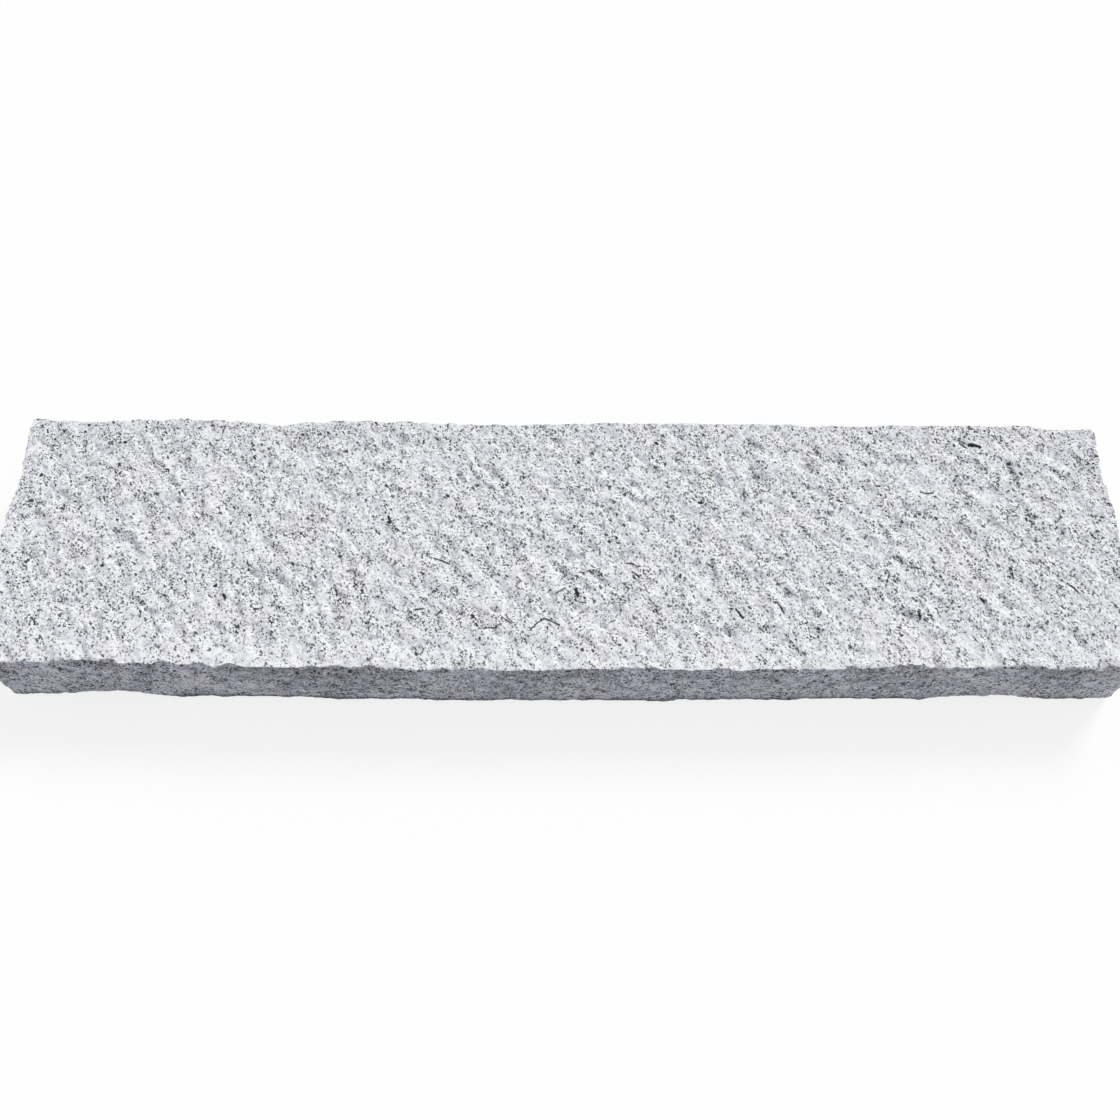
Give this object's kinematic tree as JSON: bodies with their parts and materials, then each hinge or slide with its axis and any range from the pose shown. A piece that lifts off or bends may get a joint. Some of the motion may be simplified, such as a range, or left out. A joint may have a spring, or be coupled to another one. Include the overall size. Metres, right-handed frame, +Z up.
{
  "type": "granite kerb stone",
  "caption": "Straight rectangular granite kerb stone with a pointed, diagonally tooled face, hewn sides and chipped arrises, laid in rows to edge roads, paths and beds.",
  "frame": {"origin": "middle of the stone's bounding rectangle, on the bed that it lies on", "axes": "+X along the length, +Y from the front side to the back side, +Z up from the bed to the pointed face"},
  "size_m": [0.9999, 0.2498, 0.08],
  "materials": {
    "granite": "matte, pointed face and hewn sides"
  },
  "bodies": {
    "root": {"kerb_stone": "granite"}
  },
  "joints": []
}
